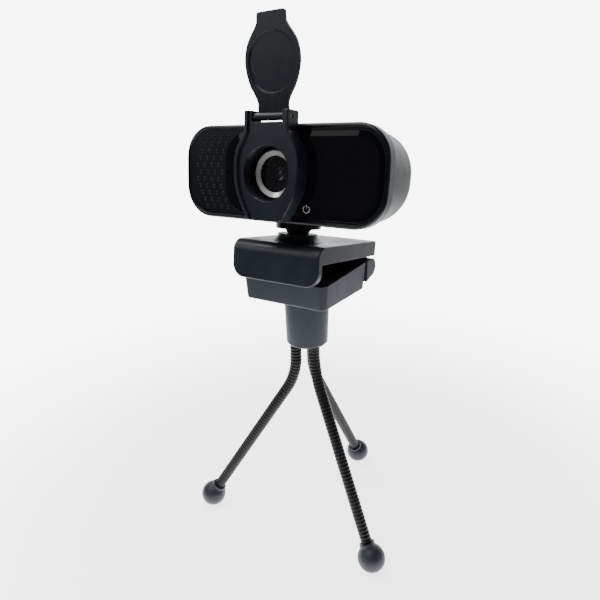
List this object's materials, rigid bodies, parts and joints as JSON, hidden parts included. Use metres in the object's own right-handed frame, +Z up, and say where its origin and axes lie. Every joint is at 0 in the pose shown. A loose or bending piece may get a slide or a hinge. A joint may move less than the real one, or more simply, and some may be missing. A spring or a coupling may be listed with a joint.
{
  "type": "webcam",
  "caption": "Webcam with a round-cornered bar head, flip-down lens cover and monitor clip, on a small tripod with bendable legs and ball feet.",
  "frame": {"origin": "on the floor, under the middle of the box around the whole object in its rest pose", "axes": "+Z up, -Y the way the lens looks, +X to the right when facing the lens from the front"},
  "size_m": [0.1009, 0.0855, 0.2256],
  "materials": {
    "body_black": "fine satin texture, near-black",
    "clip_black": "satin, near-black",
    "cover_black": "satin, near-black",
    "panel_gloss": "piano black",
    "chrome": "polished",
    "lens_cover": "clear, anti-reflection coated",
    "lens_glass": "coated lens",
    "filter_glass": "infrared cut coating",
    "black_part": "matt black",
    "pad_rubber": "matt",
    "foot_rubber": "satin",
    "leg_rubber": "ribbed sleeve",
    "tape": "adhesive foam",
    "steel": "zinc plated",
    "brass": "turned",
    "board": "solder mask",
    "white_part": "moulded",
    "liner": "acetal",
    "clear_part": "moulded clear"
  },
  "bodies": {
    "tripod": {"tripod_hub": "clip_black", "tripod_stud": "steel", "hub_base": "clip_black", "hub_screw": "steel", "leg_left_top": "leg_rubber", "leg_right_top": "leg_rubber", "leg_rear_top": "leg_rubber", "lower_jaw": "clip_black", "thread_insert": "brass", "lower_pad": "pad_rubber", "jaw_pin": "steel", "jaw_washers": "steel"},
    "upper_jaw": {"jaw_cover": "clip_black", "jaw_frame": "clip_black", "jaw_pad": "pad_rubber", "lip_pad": "pad_rubber", "jaw_screws": "steel", "neck_cone": "clip_black"},
    "ball": {"ball_stud": "steel", "stem_washer": "steel", "stem_screw": "steel"},
    "liner": {"ball_liner": "liner"},
    "head": {"front_bezel": "body_black", "front_panel": "panel_gloss", "rear_shell": "body_black", "case_screws": "steel", "main_board": "board", "board_screws": "steel", "status_led": "white_part", "cable_header": "white_part", "image_processor": "black_part", "image_sensor": "black_part", "light_pipe": "clear_part", "lens_holder": "black_part", "infrared_filter": "filter_glass", "lens_barrel": "black_part", "front_lens": "lens_glass", "rear_lens": "lens_glass", "lens_window": "lens_cover", "lens_ring": "chrome", "microphone": "steel", "cover_frame": "cover_black", "cover_tape": "tape", "flap_pin": "steel"},
    "flap": {"cover_flap": "cover_black"},
    "left_leg": {"leg_left_bend": "leg_rubber", "leg_left_lower": "leg_rubber", "foot_left": "foot_rubber"},
    "right_leg": {"leg_right_bend": "leg_rubber", "leg_right_lower": "leg_rubber", "foot_right": "foot_rubber"},
    "rear_leg": {"leg_rear_bend": "leg_rubber", "leg_rear_lower": "leg_rubber", "foot_rear": "foot_rubber"}
  },
  "joints": [
    {"name": "jaw_hinge", "type": "hinge", "parent": "tripod", "child": "upper_jaw", "pos_m": [0, 0.01197, 0.12587], "axis": [-1, 0, 0], "range_deg": [-9.5, 80]},
    {"name": "head_pan", "type": "hinge", "parent": "upper_jaw", "child": "ball", "pos_m": [0, -0.01829, 0.14962], "axis": [0, 0.1305, 0.9914], "continuous": true},
    {"name": "head_tilt", "type": "hinge", "parent": "ball", "child": "liner", "pos_m": [0, -0.01829, 0.14962], "axis": [1, 0, 0], "range_deg": [-10, 10]},
    {"name": "head_roll", "type": "hinge", "parent": "liner", "child": "head", "pos_m": [0, -0.01829, 0.14962], "axis": [0, -0.9951, 0.0993], "range_deg": [-8, 8]},
    {"name": "flap_hinge", "type": "hinge", "parent": "head", "child": "flap", "pos_m": [0, -0.03677, 0.19106], "axis": [1, 0, 0], "range_deg": [0, 174.5]},
    {"name": "left_leg_bend", "type": "hinge", "parent": "tripod", "child": "left_leg", "pos_m": [-0.00437, -0.01556, 0.07641], "axis": [-0.4571, 0.8894, 0], "range_deg": [-26, 40], "deforming": ["leg_left_bend"]},
    {"name": "right_leg_bend", "type": "hinge", "parent": "tripod", "child": "right_leg", "pos_m": [0.00493, -0.01458, 0.08043], "axis": [-0.4067, -0.9135, 0], "range_deg": [-26, 40], "deforming": ["leg_right_bend"]},
    {"name": "rear_leg_bend", "type": "hinge", "parent": "tripod", "child": "rear_leg", "pos_m": [-0.00056, -0.00701, 0.07669], "axis": [0.9932, -0.1167, 0], "range_deg": [-26, 40], "deforming": ["leg_rear_bend"]}
  ]
}
